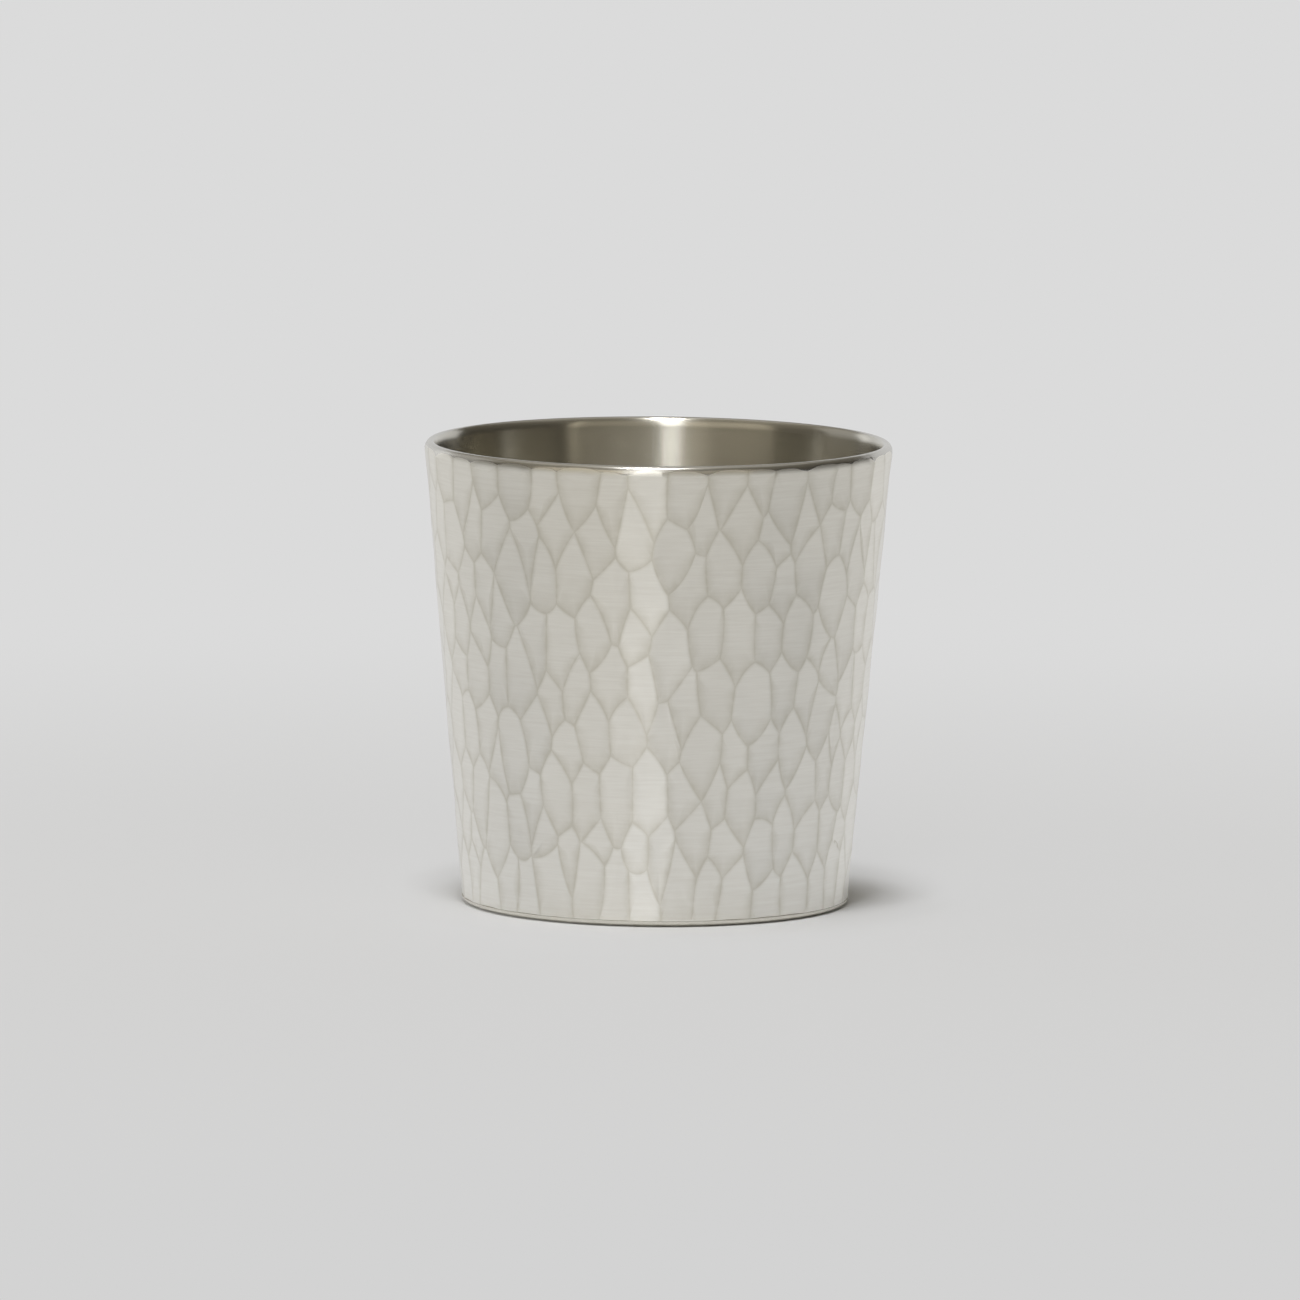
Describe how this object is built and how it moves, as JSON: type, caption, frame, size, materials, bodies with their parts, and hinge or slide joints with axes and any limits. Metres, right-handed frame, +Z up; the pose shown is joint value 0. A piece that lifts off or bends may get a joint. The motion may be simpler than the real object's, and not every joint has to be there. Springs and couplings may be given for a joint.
{
  "type": "sake cup",
  "caption": "Small tapered sake cup in hammered tin, with tall staggered hammer dents outside, a smooth turned inside, a rounded lip and a flat soldered base.",
  "frame": {"origin": "centre of the foot, on the table", "axes": "+Z up along the cup's axis, +Y towards the side seam at the back, -Y towards the viewer of the picture"},
  "size_m": [0.0579, 0.0578, 0.0575],
  "materials": {
    "hammered_tin": "hand-hammered tin, satin with fine level brush lines",
    "seam_tin": "run-in tin, dressed flush with the wall",
    "plate_tin": "turned tin plate, satin",
    "solder": "tin solder, dull as flowed"
  },
  "bodies": {
    "root": {"hammered_wall": "hammered_tin", "side_seam": "seam_tin", "base_plate": "plate_tin", "base_solder": "solder"}
  },
  "joints": []
}
